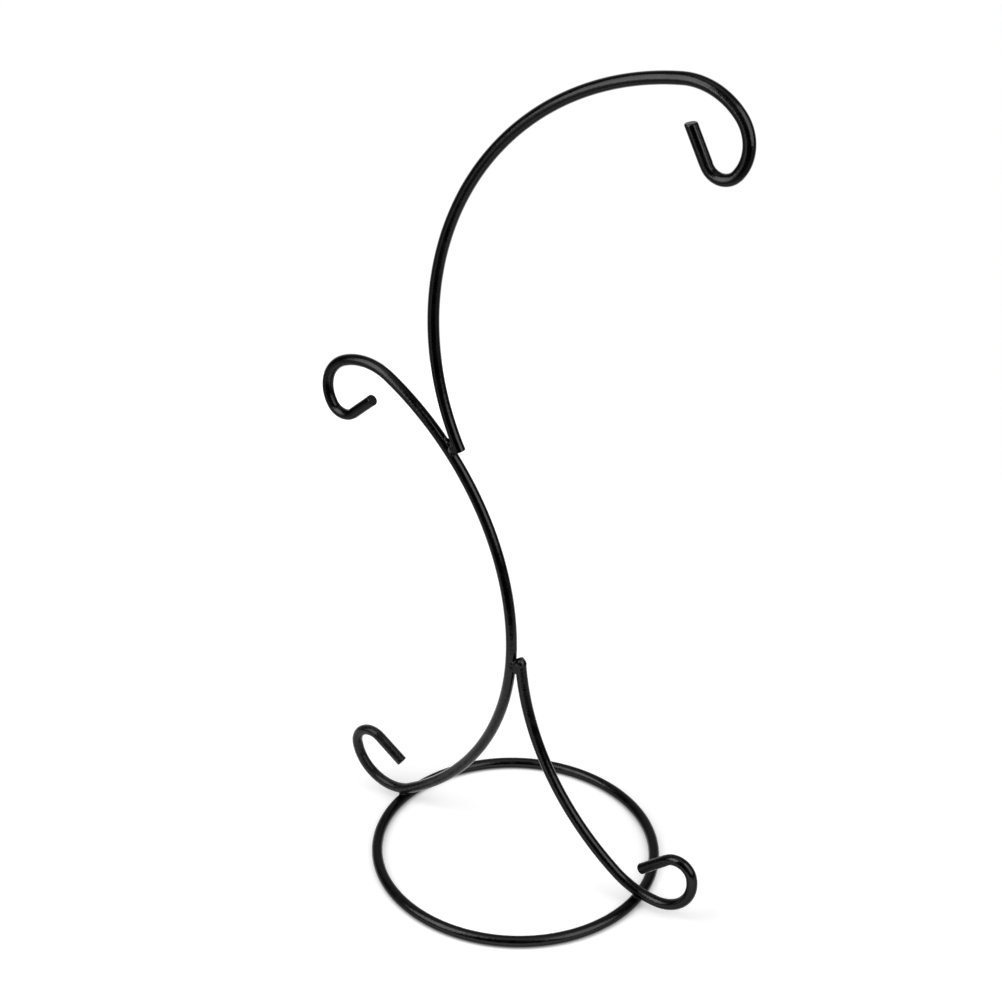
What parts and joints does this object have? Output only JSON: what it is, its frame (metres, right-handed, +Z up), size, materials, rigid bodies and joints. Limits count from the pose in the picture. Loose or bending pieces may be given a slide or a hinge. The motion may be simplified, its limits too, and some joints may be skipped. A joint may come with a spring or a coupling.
{
  "type": "hanging plant stand",
  "caption": "Tabletop hanging stand of bent round wire: a bowed stem and a leg with scroll feet welded on a base ring, and a tall curved arm that ends in a hook for a small plant vessel.",
  "frame": {"origin": "centre of the base ring, on the surface that the ring stands on", "axes": "+Z up. The stem, arm and leg are bent flat and lie in the XZ plane. The stem's foot crosses the ring at -X, and the leg, the arm's hook and the hanging vessel are at +X. +Y is across the wires."},
  "size_m": [0.1666, 0.1112, 0.3157],
  "materials": {
    "black_enamel": "semi-gloss black enamel over steel wire"
  },
  "bodies": {
    "root": {"base_ring": "black_enamel", "ring_butt_weld": "black_enamel", "main_stem": "black_enamel", "top_arm": "black_enamel", "front_leg": "black_enamel", "arm_stem_weld": "black_enamel", "leg_stem_weld": "black_enamel", "stem_ring_weld": "black_enamel", "leg_ring_weld": "black_enamel"}
  },
  "joints": []
}
